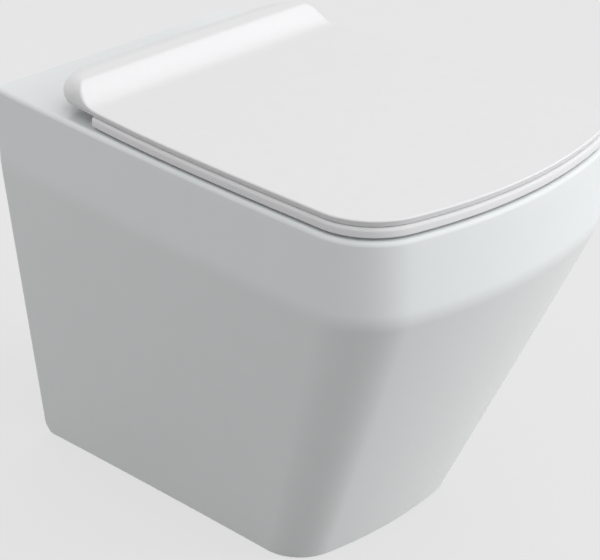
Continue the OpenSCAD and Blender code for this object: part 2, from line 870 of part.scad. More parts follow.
// The insertion mark ends the pipe's free length, just outside the seal
module flush_pipe() {
    length = inlet_back + flush_pipe_entry;
    mark_back = collar_back - flush_mark_width;
    color("white")
    translate([0, 0, inlet_z])
        difference() {
            union() {
                rod_y(mark_back - flush_mark_width, 0, flush_pipe_d);
                rod_y(mark_back, mark_back - flush_mark_width, flush_pipe_d - 2 * flush_mark_depth);
                rod_y(length, mark_back, flush_pipe_d);
            }
            rod_y(length + past, -past, flush_pipe_d - 2 * flush_pipe_t);
        }
}

module inlet_seal() {
    color("dimgray")
    translate([0, 0, inlet_z])
        difference() {
            union() {
                rod_y(inlet_back + flush_pipe_entry - inlet_t, inlet_back, inlet_bore - 2 * push);
                rod_y(inlet_back, collar_back, inlet_bore + inlet_t);
            }
            rod_y(inlet_back + inlet_depth, collar_back - past, flush_pipe_d + 2 * push);
        }
}

// Radii of the outlet connector, and distances from the wall to its shoulder and its mouth
socket_in = spigot_d / 2 + outlet_seal_t;
tail_out = outlet_tail_d / 2;
tail_in = tail_out - outlet_wall;
shoulder_back = spigot_back - outlet_stop;
socket_mouth = shoulder_back + outlet_socket_length;

module outlet_connector() {
    socket_out = socket_in + outlet_wall;
    color("white")
    translate([0, 0, outlet_z]) rotate([90, 0, 0])
        rotate_extrude($fn = round_fn)
            polygon([
                [tail_in, 0], [tail_out, 0], [tail_out, shoulder_back - outlet_shoulder],
                [socket_out, shoulder_back], [socket_out, socket_mouth],
                [socket_in, socket_mouth], [socket_in, shoulder_back + past],
                [tail_in, shoulder_back + past - outlet_shoulder]
            ]);
}

// Outlet seal: depth and pitch of its fins, and its distance from the spigot's end
fin_root = 2;
fin_pitch = 3.6;
fin_slope = 1;
seal_setback = 4;

module outlet_seal() {
    grip = spigot_d / 2 + push;
    sleeve = socket_in - push;
    web = sleeve - fin_root;
    first = spigot_back + seal_setback;
    last = first + 5 * fin_pitch;
    color("dimgray")
    translate([0, 0, outlet_z]) rotate([90, 0, 0])
        rotate_extrude($fn = round_fn)
            polygon([
                [sleeve, first], [sleeve, last + fin_pitch],
                [grip, last + fin_pitch], [grip, last],
                [web, last - fin_slope], [web, first + 3 * fin_pitch + fin_slope],
                [grip, first + 3 * fin_pitch], [grip, first + 2 * fin_pitch],
                [web, first + 2 * fin_pitch - fin_slope], [web, first + fin_pitch + fin_slope],
                [grip, first + fin_pitch], [grip, first]
            ]);
}

module floor_bracket() {
    color("lightgray")
    difference() {
        translate([0, -bracket_back - bracket_length / 2, 0]) {
            translate([bracket_reach - bracket_foot, 0, 0])
                cube([bracket_foot, bracket_length, bracket_t]);
            translate([bracket_reach - bracket_t, 0, 0])
                cube([bracket_t, bracket_length, bracket_height]);
        }
        for (end = [-1, 1])
            translate([floor_hole_x, -bracket_back + end * floor_hole_spacing / 2, -past])
                cylinder(h = bracket_t + 2 * past, d = floor_hole_d, $fn = round_fn);
        translate([0, -bracket_back, clamp_z])
            rod_x(bracket_reach - bracket_t - past, bracket_reach + past, clamp_bolt_d + 2 * loose);
    }
}

module clamp_bolts() {
    head_t = clamp_bolt_d * head_t_ratio;
    head_x = bracket_reach - bracket_t - head_t;
    color("silver")
    both() translate([0, -bracket_back, clamp_z]) {
        translate([head_x, 0, 0]) rotate([0, 90, 0])
            cylinder(h = head_t, d = clamp_bolt_d * hex_d_ratio, $fn = 6);
        rod_x(head_x, clamp_bore_x - clamp_cover, clamp_bolt_d);
    }
}

module clamp_plugs() {
    color("beige")
    both() translate([0, -bracket_back, clamp_z])
        difference() {
            rod_x(bracket_reach, clamp_bore_x, clamp_plug_d - 2 * push);
            rod_x(bracket_reach - past, clamp_bore_x + past, clamp_bolt_d + 2 * push);
        }
}

pan();
seat_ring();
seat_lid();
ring_buffers();
lid_buffers();
mirror([1, 0, 0]) hinge_post();  // hinge_post_left
hinge_post();  // hinge_post_right
mirror([1, 0, 0]) hinge_base();  // hinge_base_left
hinge_base();  // hinge_base_right
mirror([1, 0, 0]) hinge_pin();  // hinge_pin_left
hinge_pin();  // hinge_pin_right
hinge_gaskets();
ring_damper();
ring_bush();
lid_damper();
lid_bush();
seat_bolts();
fixing_dowels();
dowel_nuts();
flush_pipe();
inlet_seal();
outlet_connector();
outlet_seal();
mirror([1, 0, 0]) floor_bracket();  // floor_bracket_left
floor_bracket();  // floor_bracket_right
clamp_bolts();
clamp_plugs();
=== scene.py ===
"""The looks of a back to wall toilet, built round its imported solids.

Sizes are in millimetres until a mesh is made, which is in metres. The origin is on the
centre line where the wall meets the floor, the front points to -Y and +Z is up.
"""

import json
import math

import bpy
from mathutils import Matrix, Vector


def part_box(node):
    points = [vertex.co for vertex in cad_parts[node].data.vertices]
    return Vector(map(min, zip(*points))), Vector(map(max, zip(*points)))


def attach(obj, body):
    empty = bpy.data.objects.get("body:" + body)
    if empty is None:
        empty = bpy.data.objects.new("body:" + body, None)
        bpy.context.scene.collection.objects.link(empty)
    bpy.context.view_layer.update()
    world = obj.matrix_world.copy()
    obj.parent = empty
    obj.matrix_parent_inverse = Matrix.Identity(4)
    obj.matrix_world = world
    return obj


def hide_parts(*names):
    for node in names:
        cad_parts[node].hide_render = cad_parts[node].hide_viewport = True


MM = 0.001

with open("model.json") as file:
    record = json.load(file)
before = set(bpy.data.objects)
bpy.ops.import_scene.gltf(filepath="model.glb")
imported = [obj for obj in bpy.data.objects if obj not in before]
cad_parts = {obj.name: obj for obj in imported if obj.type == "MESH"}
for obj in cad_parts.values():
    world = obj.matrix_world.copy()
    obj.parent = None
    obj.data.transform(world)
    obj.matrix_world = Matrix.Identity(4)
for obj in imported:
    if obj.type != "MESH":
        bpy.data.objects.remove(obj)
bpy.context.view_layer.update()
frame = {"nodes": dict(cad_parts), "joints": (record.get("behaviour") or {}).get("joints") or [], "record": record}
nodes = frame["nodes"]


def box_mm(node):
    """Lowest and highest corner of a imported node, in millimetres."""
    low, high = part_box(node)
    return low / MM, high / MM


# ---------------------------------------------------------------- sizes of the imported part

pan_low, pan_high = box_mm("pan")
ring_low, ring_high = box_mm("seat_ring")
lid_low, lid_high = box_mm("seat_lid")
lid_buffer_low = box_mm("lid_buffers")[0]
post_low, post_high = box_mm("hinge_post_right")
plug_low, plug_high = box_mm("clamp_plugs")
bracket_high = box_mm("floor_bracket_right")[1]
dowel_low, dowel_high = box_mm("fixing_dowels")
connector_low, connector_high = box_mm("outlet_connector")
seal_low, seal_high = box_mm("inlet_seal")
pipe_low, pipe_high = box_mm("flush_pipe")
bolt_low = box_mm("seat_bolts")[0]
axis_y, axis_z = [v / MM for v in frame["joints"][0]["pos_m"][1:]]

pan_depth = -pan_low.y
pan_half = pan_high.x
pan_height = pan_high.z
seat_half = ring_high.x
seat_front = -ring_low.y
ring_z = ring_low.z
ring_top = lid_buffer_low.z
lid_z = lid_low.z
crest_z = lid_high.z
lid_back = -lid_high.y
post_half = (post_high.x - post_low.x) / 2
hinge_x = (post_high.x + post_low.x) / 2
bolt_y = (dowel_low.y + dowel_high.y) / 2
dowel_r = (dowel_high.y - dowel_low.y) / 2
plug_y = (plug_low.y + plug_high.y) / 2
plug_z = (plug_low.z + plug_high.z) / 2
plug_r = (plug_high.z - plug_low.z) / 2
inlet_z = (pipe_low.z + pipe_high.z) / 2
outlet_z = (connector_low.z + connector_high.z) / 2
connector_r = (connector_high.z - connector_low.z) / 2
collar_r = (seal_high.z - seal_low.z) / 2

# Rim and foot of the pan; the last two are the round where each side's rear edge meets the foot
PAN_WALL_HALF = 174.0
PAN_SIDE_POWER = 2
BAND_HEIGHT = 86.0
CREASE = 20.0
RIM_CORNER_R = 73.0
RIM_BOW_R = 515.0
RIM_EDGE_R = 5.5
WALL_CORNER_R = 3.0
CLAY = 12.0
DECK = 14.0
FOOT_DEPTH = 416.0
FOOT_HALF = 128.0
FOOT_WALL_HALF = 132.5
FOOT_CORNER_R = 50.0
FOOT_BOW_R = 480.0
FOOT_EDGE = 2.0
FOOT_REAR_RUN = 15.0
FOOT_REAR_RISE = 27.0

# Bowl and waterway
MOUTH_HALF = 125.0
MOUTH_LENGTH = 318.0
MOUTH_BACK = 205.0
MOUTH_EDGE_R = 6.0
SUMP_HALF = 38.0
SUMP_LENGTH = 76.0
SUMP_BACK = 275.0
SUMP_FLOOR = 45.0
BOWL_WALL = 11.0
BOWL_FULLNESS = 2.2
BOWL_SQUARENESS = 2.4
TRAP_HALF = 36.0
TRAP_WALL = 10.0
TRAP_SQUARENESS = 5.0
TRAP_BEND_R = 48.0
TRAP_START_SHARE = 0.42
TRAP_STEP = 2.5
TRAP_LAP = 3.0
TRAP_RUN_IN = 7.0
WEIR_BACK = 145.0
WEIR_Z = 206.0
SPIGOT_R = 51.0
SPIGOT_BORE_R = 41.0
SPIGOT_BACK = 60.0
SPIGOT_LENGTH = 40.0
SPIGOT_LAP = 5.0
INLET_R = 27.5
INLET_WALL = 9.0
INLET_BACK = 95.0
INLET_DEPTH = 55.0
JET_R = 16.0
JET_RISE = 36.0
JET_RUN_IN = 20.0
RIB_BACK = 5.0
RIB_LAP = 4.5
SEAT_HOLE_R = 7.5
BOSS_R = 14.0
BOSS_CAP = 8.0
PLUG_PLAY = 0.05

# Seat ring
SEAT_CORNER_R = 70.0
SEAT_DRAW_IN = 36.0
SEAT_SIDE_POWER = 3
RING_EDGE_R = 4.0
RING_FOOT_EDGE = 1.2
RING_BACK = 158.0
RING_REAR_R = 4.0
HOLE_HALF = 112.0
HOLE_LENGTH = 286.0
HOLE_BACK = 214.0
RING_KNUCKLE = 15.5
LID_KNUCKLE = 19.5
KNUCKLE_R = 7.5
KNUCKLE_GAP = 1.0
KNUCKLE_BORE_R = 5.45
NOTCH_REACH = 2.0

# Arm from a ring's knuckle: its ends beside the knuckle, as y and z in radii of the knuckle,
# then how far its heel, its lap into the ring and its top reach from the ring's rear edge
ARM_UNDERSIDE = [(-0.5, -0.85), (-1.9, -1.04)]
ARM_TOPSIDE = [(-4.0, -0.4), (-0.7, 0.7)]
ARM_HEEL = 20.0
ARM_HEEL_RISE = 5.0
ARM_LAP = 12.0
ARM_TOP = 6.0

# Lid
LID_T = 6.8
LID_UNDERCUT = 2.2
LID_EDGE_R = 1.6
HUMP_FRONT = 170.0
HUMP_RUN = 42.0
HUMP_BIAS = 1.8
HUMP_FALL = 32.0
HUMP_FALL_HEIGHT = 18.1
HUMP_SIDE_LEAN = 14.5
HUMP_CORNER_R = 46.0
HUMP_EDGE_R = 3.0
HUMP_EASE = 26.0
HUMP_FIRST_SHARE = 0.05
HUMP_ROUND_SHARE = 0.9
HUMP_EDGE_SHARE = 0.5
HOLLOW_FIRST_SHARE = 0.32
HOLLOW_EDGE_R = 0.5
SHELL = 3.0

# Web from a lid's knuckle to the hump's crest: its ends beside the knuckle, in radii of the
# knuckle, then the depth and the length of its tip
WEB_UNDERSIDE = (-0.5, -0.7)
WEB_TOPSIDE = (0.3, 0.8)
WEB_TIP = 2.0
WEB_TIP_RUN = 10.0

# Repeated details
GRIP_RINGS = 7
GRIP_RING_R = 0.6
GRIP_RING_STEP = 2.6
GRIP_RING_START = 2.5
BOLT_R = 3.0
THREAD_R = 0.25
THREAD_TURNS = 6.5
THREAD_LENGTH = 5.2
THREAD_START = 0.4
RIDGES = 4
RIDGE_R = 0.8
RIDGE_STEP = 5.0
RIDGE_START = 19.0
FLUTES = 36
FLUTE_T = 1.2
COLLAR_T = 5.0

# Heights and places that follow from these
band_z = pan_height - BAND_HEIGHT
deck_z = pan_height - DECK
lid_top = lid_z + LID_T
hump_rise = crest_z - lid_top
ring_knuckle_x = hinge_x - post_half - KNUCKLE_GAP - RING_KNUCKLE
lid_knuckle_x = hinge_x + post_half + KNUCKLE_GAP

# How finely the shapes are divided
BOW_STEPS = 20
CORNER_STEPS = 28
SIDE_STEPS = 36
REAR_STEPS = 12
EDGE_STEPS = 8
FINE_EDGE_STEPS = 4
SLOPE_STEPS = 12
CREASE_STEPS = 12
BAND_STEPS = 4
BOWL_STEPS = 160
BOWL_RISE_STEPS = 60
BEND_STEPS = 16
TRAP_STEPS = 64
ROUND_STEPS = 96
LID_SIDE_STEPS = 3
HUMP_STEPS = 44
HUMP_EDGE_STEPS = 4
HUMP_SIDE_STEPS = 8
HUMP_CORNER_STEPS = 16
HOLLOW_STEPS = 20
WIRE_SIDES = 8
THREAD_STEPS = 24
SMOOTH_ANGLE = 34.0

# How far a cutting piece reaches past what it cuts
PAST = 1.0


# ---------------------------------------------------------------- outlines


def lerp(a, b, t):
    return a + (b - a) * t


def side_at(half, draw_in, power, widest_y, y):
    """Half width, at y, of a side that draws in towards the wall."""
    return half - draw_in * max(0.0, (y - widest_y) / -widest_y) ** power


def half_outline(front, half, bow_r, corner_r, draw_in, power, back, back_rx, back_ry):
    """Right half of an outline seen from above, from the middle of its front to its back."""
    corner_x = half - corner_r
    reach = math.sqrt((bow_r - corner_r) ** 2 - corner_x**2)
    bow_y = bow_r - front
    corner_y = bow_y - reach
    turn = math.atan2(corner_x, reach)
    back_y = -back - back_ry
    back_x = side_at(half, draw_in, power, corner_y, back_y)
    points = []
    for i in range(BOW_STEPS + 1):
        a = turn * i / BOW_STEPS
        points.append((bow_r * math.sin(a), bow_y - bow_r * math.cos(a)))
    for i in range(1, CORNER_STEPS + 1):
        a = lerp(turn, math.pi / 2, i / CORNER_STEPS)
        points.append((corner_x + corner_r * math.sin(a), corner_y - corner_r * math.cos(a)))
    for i in range(1, SIDE_STEPS + 1):
        y = lerp(corner_y, back_y, i / SIDE_STEPS)
        points.append((side_at(half, draw_in, power, corner_y, y), y))
    for i in range(1, REAR_STEPS + 1):
        a = math.pi / 2 * i / REAR_STEPS
        points.append((back_x - back_rx * (1 - math.cos(a)), back_y + back_ry * math.sin(a)))
    return points


def both_sides(half):
    """The whole outline, from a right half that starts on the centre line."""
    return half + [(-x, y) for x, y in reversed(half[1:])]


def at_height(outline, z):
    return [(x, y, z) for x, y in outline]


def slope_at(z):
    """How far up the skirt's slope a height lies: 0 at the foot and 1 in the band."""
    soft = CREASE / 2
    if z <= band_z - soft:
        return z / band_z
    if z >= band_z + soft:
        return 1.0
    return z / band_z - (z - band_z + soft) ** 2 / (4 * soft * band_z)


def pan_outline(z, inset, back, back_r):
    """The pan's outline at a height, drawn in by an inset."""
    t = slope_at(z)
    half = half_outline(
        lerp(FOOT_DEPTH, pan_depth, t) - inset,
        lerp(FOOT_HALF, pan_half, t) - inset,
        lerp(FOOT_BOW_R, RIM_BOW_R, t) - inset,
        lerp(FOOT_CORNER_R, RIM_CORNER_R, t) - inset,
        lerp(FOOT_HALF - FOOT_WALL_HALF, pan_half - PAN_WALL_HALF, t),
        PAN_SIDE_POWER,
        back,
        back_r,
        back_r,
    )
    return at_height(both_sides(half), z)


def seat_outline(inset, back, back_rx, back_ry):
    """The outline that ring and lid share, drawn in by an inset."""
    return both_sides(
        half_outline(
            seat_front - inset,
            seat_half - inset,
            RIM_BOW_R - inset,
            SEAT_CORNER_R - inset,
            SEAT_DRAW_IN,
            SEAT_SIDE_POWER,
            back,
            back_rx,
            back_ry,
        )
    )


def rounded(steps):
    """Pairs of how far in and how far down a quarter round goes, from its side to its top."""
    angles = [math.pi / 2 * i / steps for i in range(steps + 1)]
    return [(1 - math.cos(a), 1 - math.sin(a)) for a in angles]


def squared_circle(half_x, half_y, squareness, steps):
    """A closed loop between a circle and a square."""
    loop = []
    for i in range(steps):
        a = 2 * math.pi * i / steps
        c, s = math.cos(a), math.sin(a)
        x = half_x * math.copysign(abs(c) ** (2 / squareness), c)
        y = half_y * math.copysign(abs(s) ** (2 / squareness), s)
        loop.append((x, y))
    return loop


def bowl_outline(half, back, front, flare, z):
    """A level loop of the bowl or of the ring's hole, wider all round by its flare."""
    mid = -(front + flare + (back - flare)) / 2
    reach = (front + flare - (back - flare)) / 2
    loop = squared_circle(half + flare, reach, BOWL_SQUARENESS, BOWL_STEPS)
    return [(x, mid + y, z) for x, y in loop]


# ---------------------------------------------------------------- meshes


def mesh_object(name, verts, faces):
    mesh = bpy.data.meshes.new(name)
    mesh.from_pydata([Vector(v) * MM for v in verts], [], faces)
    mesh.update()
    made = bpy.data.objects.new(name, mesh)
    bpy.context.scene.collection.objects.link(made)
    return made


def loft(name, sections):
    """A closed solid through loops of equally many points.

    Each loop runs anticlockwise as seen from the far end, which is the top of a solid that
    is built upwards.
    """
    n = len(sections[0])
    verts = [p for section in sections for p in section]
    faces = [list(reversed(range(n)))]
    for k in range(len(sections) - 1):
        low, high = k * n, (k + 1) * n
        for i in range(n):
            j = (i + 1) % n
            faces.append((low + i, low + j, high + j, high + i))
    faces.append([(len(sections) - 1) * n + i for i in range(n)])
    return mesh_object(name, verts, faces)


def rod(name, start, end, radius):
    """A cylinder between two points."""
    start, end = Vector(start), Vector(end)
    along = (end - start).normalized()
    across = along.orthogonal().normalized()
    beside = along.cross(across)
    rings = []
    for centre in (start, end):
        ring = []
        for i in range(ROUND_STEPS):
            a = 2 * math.pi * i / ROUND_STEPS
            ring.append(centre + (across * math.cos(a) + beside * math.sin(a)) * radius)
        rings.append(ring)
    return loft(name, rings)


def block(name, low, high):
    corners = [(low[0], low[1]), (high[0], low[1]), (high[0], high[1]), (low[0], high[1])]
    return loft(name, [at_height(corners, low[2]), at_height(corners, high[2])])


def slab_x(name, x0, x1, outline):
    """A plate between two places along x, with its outline given as y and z."""
    return loft(name, [[(x0, y, z) for y, z in outline], [(x1, y, z) for y, z in outline]])


def mirrored(made):
    """The same piece on the other side of the centre line."""
    twin = made.copy()
    twin.data = made.data.copy()
    twin.data.transform(Matrix.Scale(-1, 4, Vector((1, 0, 0))))
    twin.data.flip_normals()
    bpy.context.scene.collection.objects.link(twin)
    return twin


def on_both_sides(made):
    return [made, mirrored(made)]


def settle(made):
    """Turns an object's modifiers into a plain mesh."""
    bpy.context.view_layer.update()
    graph = bpy.context.evaluated_depsgraph_get()
    plain = bpy.data.meshes.new_from_object(made.evaluated_get(graph))
    old = made.data
    made.modifiers.clear()
    made.data = plain
    bpy.data.meshes.remove(old)
    return made


def shaped(base, joined, cut):
    """Joins pieces to a base, then cuts others out of it."""
    steps = [("UNION", tool) for tool in joined] + [("DIFFERENCE", tool) for tool in cut]
    for operation, tool in steps:
        step = base.modifiers.new(tool.name, "BOOLEAN")
        step.operation = operation
        step.solver = "MANIFOLD"
        step.object = tool
    settle(base)
    for operation, tool in steps:
        bpy.data.objects.remove(tool)
    return base


def smooth(made):
    """Soft shading over rounded faces, with flat faces kept flat."""
    made.data.polygons.foreach_set("use_smooth", [True] * len(made.data.polygons))
    made.data.set_sharp_from_angle(angle=math.radians(SMOOTH_ANGLE))
    weigh = made.modifiers.new("even faces", "WEIGHTED_NORMAL")
    weigh.keep_sharp = True
    return settle(made)


# ---------------------------------------------------------------- the pan


def pan_levels(top):
    """Heights up the slope, through the crease and up the band."""
    slope_top = band_z - CREASE / 2
    band_foot = band_z + CREASE / 2
    levels = [lerp(FOOT_EDGE, slope_top, i / SLOPE_STEPS) for i in range(SLOPE_STEPS + 1)]
    levels += [slope_top + CREASE * i / CREASE_STEPS for i in range(1, CREASE_STEPS + 1)]
    levels += [lerp(band_foot, top, i / BAND_STEPS) for i in range(1, BAND_STEPS + 1)]
    return levels


def pan_outside():
    sections = []
    for inset, drop in reversed(rounded(FINE_EDGE_STEPS)):
        z = FOOT_EDGE * drop
        sections.append(pan_outline(z, FOOT_EDGE * inset, 0, WALL_CORNER_R))
    levels = pan_levels(pan_height - RIM_EDGE_R)[1:]
    sections += [pan_outline(z, 0, 0, WALL_CORNER_R) for z in levels]
    for inset, drop in rounded(EDGE_STEPS)[1:]:
        z = pan_height - RIM_EDGE_R * drop
        sections.append(pan_outline(z, RIM_EDGE_R * inset, 0, WALL_CORNER_R))
    return loft("pan_body", sections)


def pan_hollow():
    sections = [pan_outline(-PAST, CLAY, -PAST, PAST / 2)]
    sections += [pan_outline(z, CLAY, -PAST, PAST / 2) for z in pan_levels(deck_z)]
    return loft("pan_hollow", sections)


def bowl(name, grow):
    """The bowl's inside, or with some growth its outside, which stops below the rim."""
    floor_z = SUMP_FLOOR - grow
    top_z = pan_height - DECK / 2 if grow > 0 else pan_height + PAST
    sump_front = SUMP_BACK + SUMP_LENGTH
    mouth_front = MOUTH_BACK + MOUTH_LENGTH
    sections = []
    for i in range(BOWL_RISE_STEPS + 1):
        u = i / BOWL_RISE_STEPS
        wide = 1 - (1 - u) ** BOWL_FULLNESS
        z = lerp(floor_z, top_z, u)
        if grow == 0 and z > pan_height - MOUTH_EDGE_R:
            break
        half = lerp(SUMP_HALF, MOUTH_HALF, wide)
        back = lerp(SUMP_BACK, MOUTH_BACK, wide)
        front = lerp(sump_front, mouth_front, wide)
        sections.append(bowl_outline(half, back, front, grow, z))
    if grow == 0:
        edge = [(MOUTH_EDGE_R * inset, -MOUTH_EDGE_R * drop) for inset, drop in rounded(EDGE_STEPS)]
        for flare, rise in edge + [(MOUTH_EDGE_R, PAST)]:
            sections.append(
                bowl_outline(MOUTH_HALF, MOUTH_BACK, mouth_front, flare, pan_height + rise)
            )
    return loft(name, sections)


def trap(name, half, run_on):
    """The waterway from the sump, up round the lower bend and over the weir to the spigot."""
    start_y = -SUMP_BACK - SUMP_LENGTH * TRAP_START_SHARE
    start_z = SUMP_FLOOR + TRAP_HALF + TRAP_STEP
    lower = Vector((-WEIR_BACK - 2 * TRAP_BEND_R, start_z + TRAP_BEND_R))
    upper = Vector((-WEIR_BACK, WEIR_Z - TRAP_BEND_R))
    end_y = -SPIGOT_BACK - SPIGOT_LENGTH - TRAP_LAP
    places = [(Vector((start_y, start_z)), Vector((0, 1)))]
    turns = [math.pi / 2 * i / BEND_STEPS for i in range(BEND_STEPS + 1)]
    for a in turns:
        out = Vector((math.sin(a), -math.cos(a)))
        places.append((lower + out * TRAP_BEND_R, -out))
    for a in turns:
        out = Vector((-math.cos(a), math.sin(a)))
        places.append((upper + out * TRAP_BEND_R, out))
    for y in (end_y, end_y + run_on):
        places.append((Vector((y, outlet_z)), Vector((0, 1))))
    loop = squared_circle(half, half, TRAP_SQUARENESS, TRAP_STEPS)
    sections = []
    for centre, up in places:
        ring = []
        for across, along in loop:
            y, z = centre + up * along
            ring.append((across, y, z))
        sections.append(ring[::-1])
    return loft(name, sections)


def pipe(name, start_y, end_y, z, radius):
    """A cylinder on the centre line that lies along y."""
    return rod(name, (0, start_y, z), (0, end_y, z), radius)


def jet(name, radius):
    """The passage from the flush inlet up to the bowl."""
    start = Vector((0, -INLET_BACK - INLET_DEPTH + radius / 2, inlet_z))
    run = MOUTH_BACK - INLET_BACK - INLET_DEPTH + JET_RUN_IN
    reach = Vector((0, -run, JET_RISE))
    return rod(name, start, start + reach * (1 + radius / 2 / reach.length), radius)


def foot_rear_corner():
    """What is cut away where each side's rear edge rounds into its foot."""
    outline = [(PAST, -PAST), (PAST, FOOT_REAR_RISE)]
    for inset, drop in rounded(EDGE_STEPS):
        outline.append((-FOOT_REAR_RUN * inset, FOOT_REAR_RISE * drop))
    outline.append((-FOOT_REAR_RUN, -PAST))
    return slab_x("foot_rear_corner", -pan_half, pan_half, outline)


def make_pan():
    body = shaped(pan_outside(), [], [pan_hollow(), foot_rear_corner()])
    inner_face = bracket_high.x
    spigot_rear = -SPIGOT_BACK
    spigot_front = spigot_rear - SPIGOT_LENGTH
    inlet_rear = -INLET_BACK
    inlet_front = inlet_rear - INLET_DEPTH
    boss = rod(
        "boss",
        (inner_face, plug_y, plug_z),
        (plug_high.x + BOSS_CAP, plug_y, plug_z),
        BOSS_R,
    )
    plug_bore = rod(
        "plug_bore",
        (inner_face - PAST, plug_y, plug_z),
        (plug_high.x, plug_y, plug_z),
        plug_r + PLUG_PLAY,
    )
    seat_hole = rod(
        "seat_hole",
        (hinge_x, bolt_y, deck_z - PAST),
        (hinge_x, bolt_y, pan_height + PAST),
        SEAT_HOLE_R,
    )
    rib_low = (-INLET_WALL / 2, inlet_front, inlet_z + INLET_R + INLET_WALL / 2)
    rib_high = (INLET_WALL / 2, inlet_rear - RIB_BACK, deck_z + RIB_LAP)
    joined = [
        bowl("bowl_outside", BOWL_WALL),
        trap("trap_outside", TRAP_HALF + TRAP_WALL, TRAP_RUN_IN),
        pipe("spigot", spigot_front, spigot_rear, outlet_z, SPIGOT_R),
        pipe("inlet", inlet_front - INLET_WALL, inlet_rear, inlet_z, INLET_R + INLET_WALL),
        jet("jet_outside", JET_R + INLET_WALL),
        block("rib", rib_low, rib_high),
    ] + on_both_sides(boss)
    cut = [
        bowl("bowl_inside", 0),
        trap("trap_inside", TRAP_HALF, PAST),
        pipe("spigot_bore", spigot_front - SPIGOT_LAP, spigot_rear + PAST, outlet_z, SPIGOT_BORE_R),
        pipe("inlet_bore", inlet_front, inlet_rear + PAST, inlet_z, INLET_R),
        jet("jet_inside", JET_R),
    ] + on_both_sides(seat_hole) + on_both_sides(plug_bore)
    return smooth(shaped(body, joined, cut))


# ---------------------------------------------------------------- the seat ring


def by_the_axis(outline):
    """Moves an outline of y and z from about the hinge axis to its place."""
    return [(y + axis_y, z + axis_z) for y, z in outline]


def in_knuckles(points):
    """Places given in radii of a knuckle."""
    return [(y * KNUCKLE_R, z * KNUCKLE_R) for y, z in points]


def ring_arm():
    """A knuckle's arm, which leaves the knuckle high so that the lid's edge swings past."""
    under = ring_z - axis_z
    top = ring_top - axis_z
    rear = -axis_y - RING_BACK
    outline = in_knuckles(ARM_UNDERSIDE)
    outline += [
        (rear + ARM_HEEL, under + ARM_HEEL_RISE),
        (rear - ARM_LAP, under),
        (rear - ARM_LAP, top),
        (rear + ARM_TOP, top),
    ]
    outline += in_knuckles(ARM_TOPSIDE)
    placed = by_the_axis(outline[::-1])
    return slab_x("ring_arm", ring_knuckle_x, ring_knuckle_x + RING_KNUCKLE, placed)


def ring_hole():
    """The ring's hole, eased at its foot and rounded at its top."""
    levels = [(RING_FOOT_EDGE, ring_z - PAST)]
    for inset, drop in reversed(rounded(FINE_EDGE_STEPS)):
        levels.append((RING_FOOT_EDGE * inset, ring_z + RING_FOOT_EDGE * drop))
    for inset, drop in rounded(EDGE_STEPS):
        levels.append((RING_EDGE_R * inset, ring_top - RING_EDGE_R * drop))
    levels.append((RING_EDGE_R, ring_top + PAST))
    front = HOLE_BACK + HOLE_LENGTH
    return loft(
        "ring_hole",
        [bowl_outline(HOLE_HALF, HOLE_BACK, front, flare, z) for flare, z in levels],
    )


def knuckle(name, x0, width, radius):
    return rod(name, (x0, axis_y, axis_z), (x0 + width, axis_y, axis_z), radius)


def make_ring():
    sections = []
    for inset, drop in reversed(rounded(FINE_EDGE_STEPS)):
        draw = RING_FOOT_EDGE * inset
        outline = seat_outline(draw, RING_BACK + draw / 2, RING_REAR_R, RING_REAR_R)
        sections.append(at_height(outline, ring_z + RING_FOOT_EDGE * drop))
    for inset, drop in rounded(EDGE_STEPS):
        outline = seat_outline(RING_EDGE_R * inset, RING_BACK, RING_REAR_R, RING_REAR_R)
        sections.append(at_height(outline, ring_top - RING_EDGE_R * drop))
    body = loft("ring_body", sections)
    joined = on_both_sides(ring_arm())
    joined += on_both_sides(knuckle("ring_knuckle", ring_knuckle_x, RING_KNUCKLE, KNUCKLE_R))
    bore = knuckle("ring_bore", ring_knuckle_x - PAST, RING_KNUCKLE + 2 * PAST, KNUCKLE_BORE_R)
    return smooth(shaped(body, joined, [ring_hole()] + on_both_sides(bore)))


# ---------------------------------------------------------------- the lid


def rise_at(t):
    """How far up its front the hump is, from 0 to 1, at a share of its run."""
    s = t**HUMP_BIAS
    return s * s * (3 - 2 * s)


def fall_in(z):
    """How far a level of the hump has drawn in towards its crest, from 0 to 1."""
    u = max(0.0, (z - crest_z + HUMP_FALL_HEIGHT) / HUMP_FALL_HEIGHT)
    return 1 - math.sqrt(max(0.0, 1 - u * u))


seat_corner_y = (
    RIM_BOW_R
    - seat_front
    - math.sqrt((RIM_BOW_R - SEAT_CORNER_R) ** 2 - (seat_half - SEAT_CORNER_R) ** 2)
)


